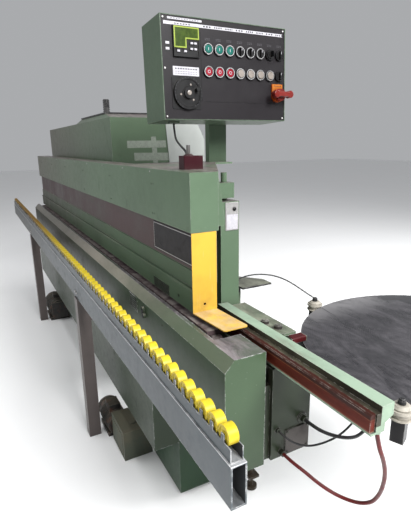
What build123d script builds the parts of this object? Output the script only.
from build123d import *
from math import cos, radians, sin, tan
import os

# Edge banding machine. Millimetres. The drawing datum is the infeed end of the bed (X = 0), the bed's
# operator-side face (Y = 0) and the floor (Z = 0). +X points at the operator feeding panels in, -Y is
# the operator's side. Pieces are written about one foot, so that the foot's sole is the origin.

# ---- driving sizes --------------------------------------------------------------------------------
table_z = 930.0             # working height
bed_length = 3688.0
bed_depth = 284.0
bed_low = 573.0             # underside of the bed's infeed end
apron_low = 270.0           # underside of the front apron between the pedestals
apron_x = -567.0            # the apron and the first pedestal start here
chamfer_y = 29.0
chamfer_z = 32.0
sheet = 3.0

slot_front = 42.0           # chain slot in the table
head_x = -130.0             # the solid table head, ahead of the chain

foot_x = -620.0
foot_y = 160.0
DATUM = Location((-foot_x, -foot_y, 0))

chain_z = 875.0
chain_r = 46.0
chain_band = 8.0
idler_x = -200.0
drive_x = -3500.0
pad_pitch = 63.0
pad_length = 61.0
pad_height = 14.0

beam_near = -297.0
beam_far = -3554.0
beam_front = 56.0
beam_rear = 152.5
hood_low = 1208.0
hood_top = 1388.0
beam_low = 948.0

rail_near = 258.5
rail_far = -4404.0
rail_front = -137.0
rail_rear = -100.0
rail_low = 761.0
rail_top = 863.0
wheel_r = 22.0
wheel_pitch = 47.0
wheel_width = 23.0
wheel_z = table_z - wheel_r
leg_size = 60.0
leg_front = -143.5

panel_width = 565.0
panel_height = 369.0
panel_depth = 187.0
panel_lean = 2.28
PANEL = Plane(origin=(-740, 171, 1560), x_dir=(0, 1, 0),
              z_dir=(cos(radians(panel_lean)), 0, sin(radians(panel_lean))))
button_first = 194.0
button_pitch = 48.4
upper_row = 261.5
lower_row = 180.0
button_r = 15.0
bezel_r = 21.0
bezel_gap = 0.6

house_near = -1580.0        # rear cabinet and the enclosure above it
house_far = -3620.0
house_front = 200.0
house_rear = 780.0
house_split = 980.0
house_top = 1620.0

disc_x = 132.0
disc_y = 692.0
disc_r = 426.0
disc_low = 872.0
disc_high = 880.0
rim_roller_groove = 22.0
rim_roller_flange = 27.0
roller_circle = disc_r + rim_roller_groove + 0.5
roller_angles = (197.0, 293.0, 17.0, 113.0)

fit = 0.05                  # radial clearance of a running fit

os.makedirs("parts", exist_ok=True)


# ---- helpers --------------------------------------------------------------------------------------
def save(builder, node):
    """Moves a finished piece to the foot's origin, labels it and writes its STEP file."""
    piece = builder.part.moved(DATUM)
    piece.label = node
    export_step(piece, f"parts/{node}.step")


def block(xs, ys, zs, mode=Mode.ADD):
    """A cuboid between two X, two Y and two Z values, in the open part."""
    with Locations(((xs[0] + xs[1]) / 2, (ys[0] + ys[1]) / 2, (zs[0] + zs[1]) / 2)):
        Box(abs(xs[1] - xs[0]), abs(ys[1] - ys[0]), abs(zs[1] - zs[0]), mode=mode)


def bar_x(xs, y, z, radius, mode=Mode.ADD):
    """A round bar along X."""
    with Locations(((xs[0] + xs[1]) / 2, y, z)):
        Cylinder(radius, abs(xs[1] - xs[0]), rotation=(0, 90, 0), mode=mode)


def bar_y(x, ys, z, radius, mode=Mode.ADD):
    """A round bar along Y."""
    with Locations((x, (ys[0] + ys[1]) / 2, z)):
        Cylinder(radius, abs(ys[1] - ys[0]), rotation=(90, 0, 0), mode=mode)


def bar_z(x, y, zs, radius, mode=Mode.ADD):
    """A round bar along Z."""
    with Locations((x, y, (zs[0] + zs[1]) / 2)):
        Cylinder(radius, abs(zs[1] - zs[0]), mode=mode)


def profile_x(points, xs, mode=Mode.ADD):
    """A straight length along X of the section given by its Y, Z corners."""
    with BuildSketch(Plane.YZ.offset(min(xs))) as section:
        with BuildLine():
            Polyline(*points, close=True)
        make_face()
    extrude(section.sketch, amount=abs(xs[1] - xs[0]), mode=mode)


def plate_z(points, zs, mode=Mode.ADD, corner=0.0):
    """A flat plate of the plan outline given by its X, Y corners."""
    with BuildSketch(Plane.XY.offset(min(zs))) as outline:
        with BuildLine():
            Polyline(*points, close=True)
        make_face()
        if corner:
            fillet(outline.vertices(), corner)
    extrude(outline.sketch, amount=abs(zs[1] - zs[0]), mode=mode)


def on_panel(u, v, radius, low, high, mode=Mode.ADD):
    """A round boss square to the control panel, between two heights over its face."""
    with BuildSketch(PANEL.offset(low)) as spot:
        with Locations((u, v)):
            Circle(radius)
    extrude(spot.sketch, amount=high - low, mode=mode)


def slab_on_panel(u, v, width, height, low, high, mode=Mode.ADD):
    """A rectangular slab square to the control panel, centred on u, v."""
    with BuildSketch(PANEL.offset(low)) as spot:
        with Locations((u, v)):
            Rectangle(width, height)
    extrude(spot.sketch, amount=high - low, mode=mode)


def column_u(index):
    """Where a column of push buttons stands across the panel."""
    return button_first + button_pitch * index


# ---- bed ------------------------------------------------------------------------------------------
cover_top = table_z - chamfer_z
with BuildPart() as bed_front_cover:
    folded = [(0, cover_top), (chamfer_y, table_z), (slot_front, table_z), (slot_front, table_z - 24),
              (slot_front - sheet, table_z - 24), (slot_front - sheet, table_z - sheet),
              (chamfer_y + 1.3, table_z - sheet), (sheet, cover_top - 1.3)]
    profile_x([(0, apron_low)] + folded + [(sheet, apron_low)], (-bed_length, apron_x))
    profile_x([(0, bed_low)] + folded + [(sheet, bed_low)], (apron_x, head_x))
    head = [(0, bed_low), (0, cover_top), (chamfer_y, table_z), (128, table_z), (128, bed_low)]
    hollow = [(sheet, bed_low + sheet), (sheet, cover_top - 1.3), (chamfer_y + 1.3, table_z - sheet),
              (125, table_z - sheet), (125, bed_low + sheet)]
    profile_x(head, (head_x, 0))
    profile_x(hollow, (head_x, -sheet), mode=Mode.SUBTRACT)
    block((-bed_length, -bed_length + sheet), (sheet, slot_front), (apron_low, cover_top))
    block((apron_x - sheet, apron_x), (0, 107.8), (apron_low, bed_low + 10))
    block((apron_x - sheet, apron_x), (107, 280), (290.2, bed_low + 10))
    block((-772, -676), (-2.5, 0), (834, 894))
    block((-765, -683), (-3, -1), (840, 888), mode=Mode.SUBTRACT)
    for k in range(5):
        block((-765, -683), (-2.2, -1), (844 + 9 * k, 848 + 9 * k))
    bar_y(-606, (-9, 0), 876, 7)
    bar_y(-596, (-9, 0), 850, 10)
    block((-609, -597), (-6, 0), (848, 876))
    bar_y(-425, (-1, 4), 873, 4, mode=Mode.SUBTRACT)
save(bed_front_cover, "bed_front_cover")

bed_ends = (-3670.0, -20.0)
with BuildPart() as bed_frame:
    block((bed_ends[0], head_x - 1), (12, 280), (590, 800))
    block((bed_ends[0], head_x - 9), (20, 272), (598, 792), mode=Mode.SUBTRACT)
    block((head_x - 1, bed_ends[1]), (132, 280), (590, 800))
    block((head_x - 10, bed_ends[1]), (140, 272), (598, 792), mode=Mode.SUBTRACT)
    for x in (-3560, -2900, -2200, -1500, -800, -200):
        block((x - 20, x + 20), (sheet, 13), (640, 760))
    block(bed_ends, (132, 280), (800, 874))
    block(bed_ends, (138, 274), (806, 868), mode=Mode.SUBTRACT)
    block((-3600, -600), (20, 270), (290, 590))
    block((-3600, -600), (28, 262), (298, 582), mode=Mode.SUBTRACT)
    block((-3440, -262), (100, 134), (862, 920.4))
    for x in (idler_x, drive_x):
        block((x - 42, x + 42), (24, 32), (800, 900))
        block((x - 42, x + 42), (121, 129), (800, 900))
        bar_y(x, (20, 135), chain_z, 12.5 + fit, mode=Mode.SUBTRACT)
    for x in (-300.0, -80.0):
        block((x - 18, x + 18), (162, 188), (874, 882.6))
save(bed_frame, "bed_frame")

with BuildPart() as end_panel:
    block((-20, 7), (147, bed_depth), (584, 874))
    block((-20, 3), (151, bed_depth - 4), (588, 870), mode=Mode.SUBTRACT)
    block((-20, -4), (131, 148), (584, 822))
    block((7, 10), (195, 282), (588, 669))
    for y in (202, 275):
        for z in (595, 662):
            bar_x((10, 13), y, z, 4)
    bar_x((7, 12), 255, 692, 16)
    bar_x((12, 26), 255, 692, 10)
    bar_x((7, 14.5), 168, 678, 8)
    bar_x((7, 22), 182, 602, 9)
save(end_panel, "end_panel")


def levelling_foot(x, y, height, sole_r):
    """A round sole on a threaded stud, standing on the floor."""
    bar_z(x, y, (0, 12), sole_r)
    bar_z(x, y, (12, height), 9)


with BuildPart() as pedestals:
    for near, rear in ((apron_x, 430.0), (-3002.0, 292.0)):
        pedestal_ys = (108.0, rear)
        xs = (near - 328, near)
        block(xs, pedestal_ys, (15, 290))
        block((xs[0] + 6, xs[1] - 6), (pedestal_ys[0] + 6, pedestal_ys[1] - 6), (15, 284),
              mode=Mode.SUBTRACT)
        for x in (xs[0] + 53, xs[1] - 53):
            for y in (foot_y, pedestal_ys[1] - 52):
                block((x - 47, x + 47), (y - 46, y + 46), (15, 25))
                levelling_foot(x, y, 20, 33)
    block((apron_x - 2, -445), (380, 430), (58, 70))
    block((apron_x - 2, -559), (380, 430), (70, 130))
    levelling_foot(-470, 404, 92, 26)
save(pedestals, "pedestals")

pads = int((idler_x - drive_x) / pad_pitch) + 1
with BuildPart() as feed_chain:
    mid = (idler_x + drive_x) / 2
    with BuildSketch(Plane.XZ.offset(-60)) as links:
        with Locations((mid, chain_z)):
            SlotCenterToCenter(idler_x - drive_x, 2 * chain_r)
            SlotCenterToCenter(idler_x - drive_x, 2 * (chain_r - chain_band), mode=Mode.SUBTRACT)
    extrude(links.sketch, amount=-32)
    for z in (chain_z + chain_r + pad_height / 2 - 0.25, chain_z - chain_r - pad_height / 2 + 0.25):
        with Locations((mid, 80, z)):
            with GridLocations(pad_pitch, 1, pads, 1):
                Box(pad_length, 70, pad_height + 0.5)
save(feed_chain, "feed_chain")

for x, node in ((idler_x, "idler_sprocket"), (drive_x, "drive_sprocket")):
    with BuildPart() as sprocket:
        bar_y(x, (61, 91), chain_z, chain_r - chain_band - 0.6)
        bar_y(x, (22, 130.5), chain_z, 12.5)
        for k in range(5):
            a = radians(72 * k)
            bar_y(x + 24 * cos(a), (61, 91), chain_z + 24 * sin(a), 5.5, mode=Mode.SUBTRACT)
    save(sprocket, node)

# ---- pressure beam --------------------------------------------------------------------------------
lift_near = (-390.0, 225.0)
lift_far = (-3500.0, 177.0)
nut_zs = (1296.0, 1346.0)
with BuildPart() as beam_hood:
    block((beam_far, beam_near), (beam_front, beam_rear), (hood_low, hood_top))
    block((beam_far + 4, beam_near - 4), (beam_front + 4, beam_rear - 4), (hood_low, hood_top - 4),
          mode=Mode.SUBTRACT)
    plate_z([(beam_near, beam_rear - 1), (-338, 175), (-898, 476), (-898, 566), (-1060, 566),
             (-1060, beam_rear - 1)], (hood_top - 8, hood_top))
    profile_x([(beam_rear - 1, hood_low + 9), (beam_rear - 1, hood_top - 8), (163, hood_top - 8),
               (186, 1235), (183, hood_low + 9)], (-334, -316))
    block((-415, -365), (beam_rear - 1, 250), nut_zs)
    bar_z(*lift_near, nut_zs, 10 + fit, mode=Mode.SUBTRACT)
    block((-3525, -3475), (beam_rear - 1, 196), nut_zs)
    bar_z(*lift_far, nut_zs, 8 + fit, mode=Mode.SUBTRACT)
    for x in (-605, -1150, -1700, -2232, -2780, -3320):
        for z in (1336, 1230):
            for step in (-9, 9):
                bar_y(x + step, (beam_front - 1.5, beam_front), z, 3)
save(beam_hood, "beam_hood")

with BuildPart() as beam_rail:
    section = [(60, beam_low), (60, 1019), (57, 1021), (57, 1027), (66, 1029), (66, 1083), (70, 1085),
               (70, hood_low), (146, hood_low), (146, 1040), (134, 1010), (134, beam_low), (126, beam_low),
               (126, 1000), (74, 1000), (74, beam_low)]
    profile_x(section, (beam_far + 12, beam_near - 1.5))
    block((beam_far + 12, beam_near - 4), (beam_front + 4, beam_rear - 4), (hood_low, hood_low + 6))
    block((beam_far + 12, beam_near - 1.5), (78, 138), (1040, 1199), mode=Mode.SUBTRACT)
save(beam_rail, "beam_rail")

with BuildPart() as name_plate:
    block((-640, -301), (68, 70), (1096, 1199))
save(name_plate, "name_plate")

with BuildPart() as entry_guard:
    block((-298.5, -295.5), (beam_front + 1, 143), (beam_low, hood_low - 1))
    plate_z([(-298.5, 57), (-128, 74), (-128, 156), (-298.5, 143)], (beam_low, beam_low + 3),
            corner=9)
    block((-298.5, -285), (58, 143), (beam_low, beam_low + 3))
    bar_x((-310, -280), 99, 975, 4.5, mode=Mode.SUBTRACT)
save(entry_guard, "entry_guard")

roller_pitch = 110.0
roller_count = 29
with BuildPart() as pressure_rollers:
    for k in range(roller_count):
        x = -370.0 - roller_pitch * k
        bar_y(x, (86, 114), 963.5, 20)
        bar_y(x, (74, 126), 963.5, 5)
save(pressure_rollers, "pressure_rollers")

with BuildPart() as lift_columns:
    block((-430, -350), (190, 260), (874, 1287))
    block((-424, -356), (196, 254), (874, 1281), mode=Mode.SUBTRACT)
    bar_z(*lift_near, (874, 1378), 10)
    block((-3540, -3460), (158, 198), (874, 1287))
    block((-3534, -3466), (164, 192), (874, 1281), mode=Mode.SUBTRACT)
    bar_z(*lift_far, (874, 1378), 8)
save(lift_columns, "lift_columns")

# ---- height switch box on the beam, and its adjusting knob ----------------------------------------
switch_xs = (-489.0, -444.0)
switch_ys = (109.0, 179.0)
switch_top = hood_top + 44
switch_gland = Plane(origin=(-489, 146, 1420), z_dir=(-0.87, 0.3, 0.4))
knob_x = -470.0
knob_y = 137.0
with BuildPart() as switch_box:
    block(switch_xs, switch_ys, (hood_top, switch_top))
    fillet(switch_box.edges().filter_by(Axis.Z), 4)
    with BuildSketch(switch_gland.offset(-6)) as gland_seat:
        Circle(9)
    extrude(gland_seat.sketch, amount=14)
    with BuildSketch(switch_gland.offset(8)) as gland_nose:
        Circle(6.5)
    extrude(gland_nose.sketch, amount=11.5)
    bar_z(knob_x, knob_y, (switch_top, switch_top + 3), 16)
    bar_z(knob_x, knob_y, (switch_top + 3, switch_top + 6), 12)
    bar_z(knob_x, knob_y, (switch_top - 20, switch_top + 10), 4 + fit, mode=Mode.SUBTRACT)
save(switch_box, "switch_box")

with BuildPart() as height_knob:
    bar_z(knob_x, knob_y, (switch_top - 15, switch_top + 8), 4)
    bar_z(knob_x, knob_y, (switch_top + 7, switch_top + 34), 6.5)
    chamfer(height_knob.edges().sort_by(Axis.Z)[-1], 1)
    for k in range(12):
        a = radians(30 * k)
        bar_z(knob_x + 6.9 * cos(a), knob_y + 6.9 * sin(a), (switch_top + 7, switch_top + 28), 0.9,
              mode=Mode.SUBTRACT)
save(height_knob, "height_knob")

# ---- control panel --------------------------------------------------------------------------------
post_xs = (-984.0, -948.0)
post_ys = (472.0, 562.0)
bracket_ys = (486.0, 548.0)
with BuildPart() as panel_post:
    block(post_xs, post_ys, (hood_top, 1800))
    block((post_xs[0] + 5, post_xs[1] - 5), (post_ys[0] + 5, post_ys[1] - 5), (hood_top, 1795),
          mode=Mode.SUBTRACT)
    for z in (1600, 1740):
        block((-949, -925), bracket_ys, (z, z + 30))
save(panel_post, "panel_post")

half_w = panel_width / 2
half_h = panel_height / 2
with BuildPart() as panel_box:
    slab_on_panel(half_w, half_h, panel_width, panel_height, -panel_depth, 0)
    fillet(panel_box.edges().filter_by(Axis.Y), 2)
    slab_on_panel(half_w, half_h, panel_width - 6, panel_height - 6, -panel_depth + 3, 0,
                  mode=Mode.SUBTRACT)
    block((-832, -796), (222, 258), (1551, 1557.4))
    block((-950, -925), bracket_ys, (1600, 1630), mode=Mode.SUBTRACT)
    block((-950, -925), bracket_ys, (1740, 1770), mode=Mode.SUBTRACT)
save(panel_box, "panel_box")

face = -2.0                 # the fascia sits this far behind the box's rim
with BuildPart() as panel_fascia:
    slab_on_panel(half_w, half_h, panel_width - 6, panel_height - 6, face - 3, face)
    slab_on_panel(312, 71, 278, 1.5, face, face + 1)
    for v in (upper_row, lower_row):
        for k in range(8):
            on_panel(column_u(k), v, bezel_r, face, 6)
            on_panel(column_u(k), v, button_r + bezel_gap, face - 4, 7, mode=Mode.SUBTRACT)
    on_panel(521, 103, 12 + fit, face - 4, face + 1, mode=Mode.SUBTRACT)
    on_panel(101, 98, 10 + fit, face - 4, face + 1, mode=Mode.SUBTRACT)
save(panel_fascia, "panel_fascia")

with BuildPart() as display_module:
    slab_on_panel(102, 279, 108, 106, face, face + 9)
    slab_on_panel(102, 279, 100, 98, face + 6, face + 9, mode=Mode.SUBTRACT)
    for u, v in ((122, 274.7), (122, 254.7), (67, 253), (95, 253)):
        slab_on_panel(u, v, 15, 10, face + 6, face + 8.5)
save(display_module, "display_module")


def push_button(u, v, node):
    """A flat-headed push button that slides in its bezel."""
    with BuildPart() as button:
        on_panel(u, v, button_r, -8, 8)
        top = button.faces().sort_by(Axis.X)[-1]
        fillet(top.edges(), 2)
        on_panel(u, v, button_r - 5, 7.4, 9, mode=Mode.SUBTRACT)
    save(button, node)


def selector(u, v, node):
    """A turning selector with a raised grip across its face."""
    with BuildPart() as knob:
        on_panel(u, v, button_r, -8, 7)
        slab_on_panel(u, v, 8, 2 * button_r - 4, 6, 18)
        on_panel(u, v, 1, 17, 18.5)
    save(knob, node)


for k in range(3):
    push_button(column_u(k), upper_row, f"start_button_{k + 1}")
    push_button(column_u(k), lower_row, f"stop_button_{k + 1}")
for k in range(3):
    selector(column_u(3 + k), upper_row, f"mode_selector_{k + 1}")
selector(column_u(7), upper_row, "mode_selector_4")
selector(column_u(7), lower_row, "mode_selector_5")

with BuildPart() as key_switch:
    on_panel(column_u(6), upper_row, button_r, -8, 10)
    on_panel(column_u(6), upper_row, 6, 9, 12)
    slab_on_panel(column_u(6), upper_row, 2.4, 22, 11, 34)
save(key_switch, "key_switch")

with BuildPart() as panel_lamps:
    for k in range(3, 7):
        on_panel(column_u(k), lower_row, button_r, face, 11)
    fillet(panel_lamps.faces().sort_by(Axis.X)[-4:].edges(), 3)
save(panel_lamps, "panel_lamps")

dial_u = 101.0
dial_v = 98.0
with BuildPart() as speed_dial:
    on_panel(dial_u, dial_v, 10, -20, 0)
    on_panel(dial_u, dial_v, 60, face + 4, 10)
    on_panel(dial_u, dial_v, 52, 7, 11, mode=Mode.SUBTRACT)
    on_panel(dial_u, dial_v, 20, 6, 16)
    on_panel(dial_u + 34, dial_v + 12, 7, 6, 26)
save(speed_dial, "speed_dial")

with BuildPart() as main_switch_base:
    slab_on_panel(521, 131, 54, 34, face, 5)
    on_panel(521, 103, 27, face, 20)
    on_panel(521, 103, 12 + fit, face, 21, mode=Mode.SUBTRACT)
save(main_switch_base, "main_switch_base")

with BuildPart() as main_switch_knob:
    on_panel(521, 103, 12, -14, 24)
    on_panel(521, 103, 24, 20.6, 34)
    slab_on_panel(521, 103, 64, 20, 33, 56)
    for u in (487, 555):
        on_panel(u, 103, 15, 33, 56)
    fillet(main_switch_knob.faces().sort_by(Axis.X)[-1].edges(), 4)
save(main_switch_knob, "main_switch_knob")

# ---- infeed fence and the table behind it ---------------------------------------------------------
fence_xs = (-344.0, 340.0)
fence_y = 147.0
with BuildPart() as infeed_fence:
    profile_x([(fence_y, 883), (187, 883), (187, 903), (210, 915), (210, 945), (174, 945),
               (174, 929.6), (161, 929.6), (161, 888), (fence_y, 888)], fence_xs)
    profile_x([(fence_y, 888.3), (160.7, 888.3), (160.7, table_z), (fence_y + 3, table_z),
               (fence_y, table_z - 3)], (fence_xs[0], fence_xs[1] - 4))
    bar_z(329, 178, (875.5, 884), 8)
save(infeed_fence, "infeed_fence")

with BuildPart() as rear_table:
    plate_z([(-345, 216), (-92, 216), (-66, 240), (-66, 282), (-345, 282)], (922, table_z))
    block((-340, -90), (226, 232), (874, 922))
    block((-340, -90), (268, 274), (874, 922))
    for x, y in ((-159, 236), (-109, 249)):
        bar_z(x, y, (table_z, table_z + 10), 13)
        bar_z(x, y, (table_z + 10, table_z + 13), 8)
    block((-100, -72), (274, 330), (886, 902))
    plate_z([(-520, 300), (-385, 300), (-385, 425), (-440, 425), (-520, 360)], (962, 968))
    block((-478, -448), (262, 330), (874, 962))
save(rear_table, "rear_table")

# ---- edging coil disc and its stand ---------------------------------------------------------------
arm_zs = (838.0, 866.0)


def arm_point(angle, radius):
    """A point of the disc's plan, by angle and distance from its spindle."""
    return (disc_x + radius * cos(radians(angle)), disc_y + radius * sin(radians(angle)))


with BuildPart() as disc_stand:
    for angle in roller_angles:
        with BuildSketch(Plane((disc_x, disc_y, arm_zs[0])).rotated((0, 0, angle))) as arm:
            with Locations((roller_circle / 2, 0)):
                Rectangle(roller_circle + 30, 28)
        extrude(arm.sketch, amount=arm_zs[1] - arm_zs[0] - 2)
        end = arm_point(angle, roller_circle)
        with BuildSketch(Plane((end[0], end[1], 806)).rotated((0, 0, angle))) as upright:
            Rectangle(30, 30)
        extrude(upright.sketch, amount=862 - 806)
        bar_z(end[0], end[1], (862, 906), 5)
        bar_z(end[0], end[1], (901, 909), 9)
    bar_z(disc_x, disc_y, (800, disc_high + 8), 15)
    bar_z(disc_x, disc_y, (800, 868), 45)
    plate_z([(-262, 280), (-202, 280), (170, 660), (170, 740), (110, 740), (-262, 345)], (786, 832))
    block((-262, -202), (280, 290), (740, 832))
    block((-10, 100), (470, 590), (712, 787))
    bar_x((-18, -10), 530, 750, 12)
    bar_z(47, 520, (705.5, 714), 11)
    bar_y(78, (461.5, 472), 724, 8)
    with BuildLine() as wire_line:
        Spline((-396, 260.5, 990), (-402, 370, 1004), (-372, 460, 984), (-322, 535, 930), (-300, 561, 909))
    with BuildSketch(Plane(origin=(-396, 260.5, 990), z_dir=wire_line.line % 0)) as wire_section:
        Circle(2.5)
    sweep(wire_section.sketch, path=wire_line.line)
save(disc_stand, "disc_stand")

with BuildPart() as coil_disc:
    bar_z(disc_x, disc_y, (disc_low, disc_high), disc_r)
    chamfer(coil_disc.edges(), 1)
    bar_z(disc_x, disc_y, (disc_low, disc_high + 6), 48)
    bar_z(disc_x, disc_y, (disc_low - 1, disc_high + 8), 15 + fit, mode=Mode.SUBTRACT)
save(coil_disc, "coil_disc")

for k, angle in enumerate(roller_angles):
    x, y = arm_point(angle, roller_circle)
    with BuildPart() as rim_roller:
        bar_z(x, y, (866.5, 899.5), rim_roller_groove)
        bar_z(x, y, (866.5, 870.5), rim_roller_flange)
        bar_z(x, y, (883, 890), rim_roller_flange)
        chamfer(rim_roller.edges().sort_by(Axis.Z)[-1], 6)
        bar_z(x, y, (860, 905), 5 + fit, mode=Mode.SUBTRACT)
    save(rim_roller, f"rim_roller_{k + 1}")

# ---- panel support rail ---------------------------------------------------------------------------
rail_mid = (rail_front + rail_rear) / 2
wheels = int((rail_near - 18 - wheel_r - rail_far) / wheel_pitch)
first_wheel = rail_near - 40
with BuildPart() as rail_tube:
    block((rail_far, rail_near), (rail_front, rail_rear), (rail_low, rail_top))
    block((rail_far, rail_near), (rail_front + 3.5, rail_rear - 3.5), (rail_low + 3.5, rail_top - 3.5),
          mode=Mode.SUBTRACT)
    block((rail_far, rail_near - 8), (rail_mid - 15, rail_mid + 15), (rail_top, 896))
    block((rail_far, rail_near - 8), (rail_mid - 13, rail_mid + 13), (rail_top + 2, 896),
          mode=Mode.SUBTRACT)
    wheel_mid_x = first_wheel - wheel_pitch * (wheels - 1) / 2
    for side in (rail_mid - 14, rail_mid + 14):
        with Locations((wheel_mid_x, side, 902)):
            with GridLocations(wheel_pitch, 1, wheels, 1):
                Box(12, 2, 22)
    with Locations((wheel_mid_x, rail_mid, wheel_z)):
        with GridLocations(wheel_pitch, 1, wheels, 1):
            Cylinder(4, 29, rotation=(90, 0, 0))
save(rail_tube, "rail_tube")


def rail_wheel(x):
    """One plastic wheel with a sunk web, on its axle pin."""
    bar_y(x, (rail_mid - wheel_width / 2, rail_mid + wheel_width / 2), wheel_z, wheel_r)
    bar_y(x, (rail_mid - wheel_width / 2, rail_mid - wheel_width / 2 + 1.5), wheel_z, wheel_r - 4,
          mode=Mode.SUBTRACT)
    bar_y(x, (rail_mid - wheel_width / 2, rail_mid - wheel_width / 2 + 2), wheel_z, 9)
    bar_y(x, (rail_mid - wheel_width / 2, rail_mid + wheel_width / 2), wheel_z, 4 + fit,
          mode=Mode.SUBTRACT)


with BuildPart() as infeed_wheel:
    rail_wheel(first_wheel)
save(infeed_wheel, "infeed_wheel")

with BuildPart() as rail_wheels:
    with Locations([(-wheel_pitch * k, 0, 0) for k in range(1, wheels)]):
        add(infeed_wheel.part)
save(rail_wheels, "rail_wheels")

with BuildPart() as rail_legs:
    for near in (-1156.0, -2949.0):
        leg_ys = (leg_front, leg_front + leg_size)
        block((near - leg_size, near), leg_ys, (0, rail_low))
        block((near - leg_size + 4, near - 4), (leg_ys[0] + 4, leg_ys[1] - 4), (0, rail_low - 4),
              mode=Mode.SUBTRACT)
        block((near - leg_size + 10, near - 10), (leg_ys[1] - 1, 0), (640, 690))
save(rail_legs, "rail_legs")

# ---- motors on the floor --------------------------------------------------------------------------


def floor_motor(x_near, y, z, radius, length):
    """A finned motor lying along X with a terminal box and a foot."""
    bar_x((x_near - length, x_near), y, z, radius - 5)
    fins = int((length - 50) / 12)
    for k in range(fins):
        x = x_near - 24 - 12 * k
        bar_x((x - 4, x), y, z, radius)
    bar_x((x_near - length - 14, x_near - length), y, z, radius - 1)
    block((x_near - length / 2 - 40, x_near - length / 2 + 40), (y - 30, y + 30),
          (z + radius - 12, z + radius + 26))
    block((x_near - length + 20, x_near - 20), (y - radius + 6, y + radius - 6), (0, z - radius + 9))


with BuildPart() as floor_motors:
    block((-1090, -893), (-38, 104), (0, 152))
    block((-1070, -913), (-41, -37), (22, 132))
    bar_z(-960, 30, (151, 157), 14)
    floor_motor(-1091, -4, 70, 58, 190)
    floor_motor(-2890, 14, 98, 84, 260)
    block((-2891, -2876), (-50, 78), (30, 166))
save(floor_motors, "floor_motors")

# ---- rear cabinet, its door, and the enclosure over the working units ------------------------------
door_near = -1640.0
door_far = -2600.0
hinge_y = house_rear + 12
hinge_x = -1618.0
door_knuckles = (240.0, 540.0, 820.0)
with BuildPart() as rear_cabinet:
    block((house_far, house_near), (300, house_rear), (100, house_split))
    block((house_far + 4, house_near - 4), (304, house_rear - 4), (104, house_split),
          mode=Mode.SUBTRACT)
    block((house_far + 5, house_near - 5), (299, 306), (874, house_split), mode=Mode.SUBTRACT)
    block((door_far, door_near), (house_rear - 5, house_rear + 1), (140, 940), mode=Mode.SUBTRACT)
    for x in (house_near - 40, house_far + 40):
        for y in (340, house_rear - 40):
            block((x - 35, x + 35), (y - 35, y + 35), (0, 100))
    for z in door_knuckles:
        bar_z(hinge_x, hinge_y, (z - 45, z + 45), 4)
        for low in (z - 45, z + 21):
            bar_z(hinge_x, hinge_y, (low, low + 24), 8)
            block((hinge_x - 3, hinge_x + 3), (house_rear - 1, hinge_y), (low, low + 24))
save(rear_cabinet, "rear_cabinet")

with BuildPart() as rear_door:
    block((door_far - 12, -1628), (house_rear + 1, house_rear + 21), (128, 952))
    block((door_far - 9, -1631), (house_rear + 1, house_rear + 18), (131, 949), mode=Mode.SUBTRACT)
    for z in door_knuckles:
        block((-1632, hinge_x - 2), (hinge_y + 2, hinge_y + 7), (z - 20, z + 20))
        bar_z(hinge_x, hinge_y, (z - 20, z + 20), 8)
        bar_z(hinge_x, hinge_y, (z - 21, z + 21), 4 + fit, mode=Mode.SUBTRACT)
    block((door_far + 30, door_far + 60), (house_rear + 20, house_rear + 46), (500, 516))
    block((door_far + 30, door_far + 60), (house_rear + 20, house_rear + 46), (604, 620))
    block((door_far + 38, door_far + 52), (house_rear + 40, house_rear + 52), (500, 620))
save(rear_door, "rear_door")

lid_xs = (-2430.0, -1798.0)
lid_ys = (236.0, 640.0)
lid_hinge_y = 652.0
lid_hinge_z = 1657.0
lid_knuckles = (-2330.0, -1900.0)
with BuildPart() as upper_enclosure:
    profile_x([(house_front, house_split), (house_front, house_top), (718, house_top),
               (house_rear, 1500), (house_rear, house_split)], (house_far, house_near))
    profile_x([(house_front + 3, house_split), (house_front + 3, house_top - 3), (716.5, house_top - 3),
               (house_rear - 3, 1499), (house_rear - 3, house_split)],
              (house_far + 3, house_near - 3), mode=Mode.SUBTRACT)
    block((house_far + 40, house_near - 20), (house_front - 1, house_front + 4),
          (house_split - 1, 1180), mode=Mode.SUBTRACT)
    with BuildSketch(Plane.XY.offset(house_top)) as collar_low:
        with Locations(((-2452 + house_near - 3) / 2, (house_front + 3 + 712) / 2)):
            Rectangle(2452 + house_near - 3, 712 - house_front - 3)
    with BuildSketch(Plane.XY.offset(house_top + 31)) as collar_high:
        with Locations(((lid_xs[0] + lid_xs[1]) / 2, (lid_ys[0] + lid_ys[1]) / 2)):
            Rectangle(lid_xs[1] - lid_xs[0] - 4, lid_ys[1] - lid_ys[0] - 6)
    loft([collar_low.sketch.face(), collar_high.sketch.face()])
    block((-2390, -1840), (276, 600), (house_top - 6, house_top + 40), mode=Mode.SUBTRACT)
    for x in lid_knuckles:
        bar_x((x - 45, x + 45), lid_hinge_y, lid_hinge_z, 3)
        for low in (x - 45, x + 21):
            bar_x((low, low + 24), lid_hinge_y, lid_hinge_z, 6)
            block((low, low + 24), (lid_hinge_y - 3, lid_hinge_y + 3), (house_top + 8, lid_hinge_z))
save(upper_enclosure, "upper_enclosure")

with BuildPart() as enclosure_lid:
    block(lid_xs, lid_ys, (1652, 1660))
    for x in lid_knuckles:
        block((x - 20, x + 20), (lid_ys[1] - 2, lid_hinge_y), (1657, 1660))
        bar_x((x - 20, x + 20), lid_hinge_y, lid_hinge_z, 6)
        bar_x((x - 21, x + 21), lid_hinge_y, lid_hinge_z, 3 + fit, mode=Mode.SUBTRACT)
    bar_z(-1852, 262, (1660, 1736), 16.5)
    for k in range(6):
        bar_z(-1852, 262, (1664 + 12 * k, 1671 + 12 * k), 19.5)
save(enclosure_lid, "enclosure_lid")

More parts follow.
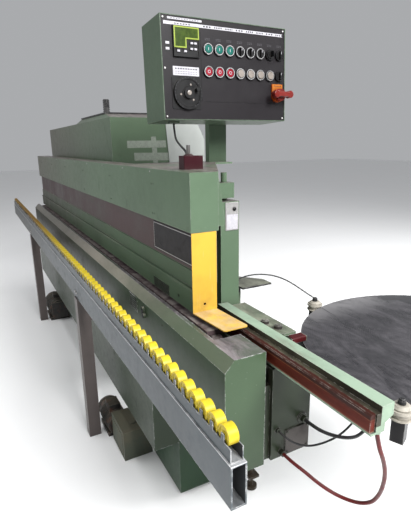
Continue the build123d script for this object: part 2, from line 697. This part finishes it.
with BuildPart() as grey_panel:
    with BuildSketch(Plane.YZ.offset(house_near)) as sheet_outline:
        with BuildLine():
            Polyline((560, 1130), (777, 1130), (777, 1498), (720, 1612), (524, 1612), close=True)
        make_face()
    extrude(amount=4)
save(grey_panel, "grey_panel")

# ---- working units inside the enclosure -------------------------------------------------------------
glue_x = -1750.0
glue_y = 212.0
with BuildPart() as glue_pot:
    block((glue_x - 60, glue_x + 80), (250, 430), (888, 1090))
    block((glue_x - 52, glue_x + 72), (258, 422), (930, 1090), mode=Mode.SUBTRACT)
    block((glue_x - 40, glue_x + 40), (glue_y - 14, 252), (991, 1003))
    block((glue_x - 40, glue_x + 40), (glue_y - 14, 252), (903, 915))
    bar_z(glue_x, glue_y, (900, 1006), 8 + fit, mode=Mode.SUBTRACT)
save(glue_pot, "glue_pot")

with BuildPart() as glue_roller:
    bar_z(glue_x, glue_y, (918, 988), 26)
    for k in range(12):
        a = radians(30 * k)
        bar_z(glue_x + 26.5 * cos(a), glue_y + 26.5 * sin(a), (918, 988), 1.2, mode=Mode.SUBTRACT)
    bar_z(glue_x, glue_y, (902, 1004), 8)
save(glue_roller, "glue_roller")

with BuildPart() as trim_heads:
    block((-3560, -1600), (204, 520), (874, 888))
    for k, x in enumerate((-2000, -2330, -2660, -2990, -3300)):
        block((x - 70, x + 70), (330, 400), (888, 960))
        bar_z(x, 365, (960, 1100), 52 - 4 * (k % 2))
        bar_y(x, (236, 330), 930, 24)
        bar_y(x, (215, 236), 930, 36 if k < 3 else 39)
        block((x - 12, x + 12), (340, 390), (1100, 1140))
save(trim_heads, "trim_heads")


# ---- free cables and hoses ------------------------------------------------------------------------
def free_cord(points, diameter, node):
    """A tube along straight runs with tangent arcs; each arc is as wide as its shorter run allows."""
    corners = [Vector(*p) for p in points]
    radii = []
    for before, here, after in zip(corners, corners[1:], corners[2:]):
        run_in = here - before
        run_out = after - here
        half_turn = radians(run_in.get_angle(run_out)) / 2
        radii.append(0.45 * min(run_in.length, run_out.length) / tan(half_turn))
    print(node, "radii in diameters", [round(r / diameter, 1) for r in radii],
          "runs", [round((b - a).length) for a, b in zip(corners, corners[1:])])
    with BuildPart() as cord:
        with BuildLine() as route:
            FilletPolyline(*points, radius=radii)
        with BuildSketch(Plane(origin=points[0], z_dir=route.line % 0)) as section:
            Circle(diameter / 2)
        sweep(section.sketch, path=route.line)
    print(node, "length", round(sum(edge.length for edge in route.edges())))
    save(cord, node)


free_cord([(-506.5, 152, 1428), (-549, 166, 1445), (-632, 188, 1459), (-718, 212, 1476),
           (-788, 232, 1496), (-814, 240, 1549)], 8, "panel_cable")
free_cord([(26, 255, 692), (64, 255, 692), (97, 274, 685), (116, 312, 672), (114, 356, 655),
           (100, 400, 641), (82, 444, 636), (65, 484, 646), (53, 510, 674), (47, 518, 704)], 10,
          "drive_cable")
free_cord([(16, 168, 678), (42, 176, 668), (58, 206, 648), (62, 248, 632), (62, 294, 625),
           (66, 340, 630), (72, 378, 652), (76, 406, 682), (78, 430, 711), (78, 460, 724)], 6,
          "sensor_cable")
free_cord([(22, 182, 602), (56, 182, 602), (90, 200, 588), (122, 230, 556), (158, 262, 534),
           (200, 290, 532), (238, 300, 560), (266, 290, 612), (290, 270, 670), (308, 248, 730),
           (320, 220, 785), (327, 192, 832), (329, 179, 873)], 10, "air_hose")
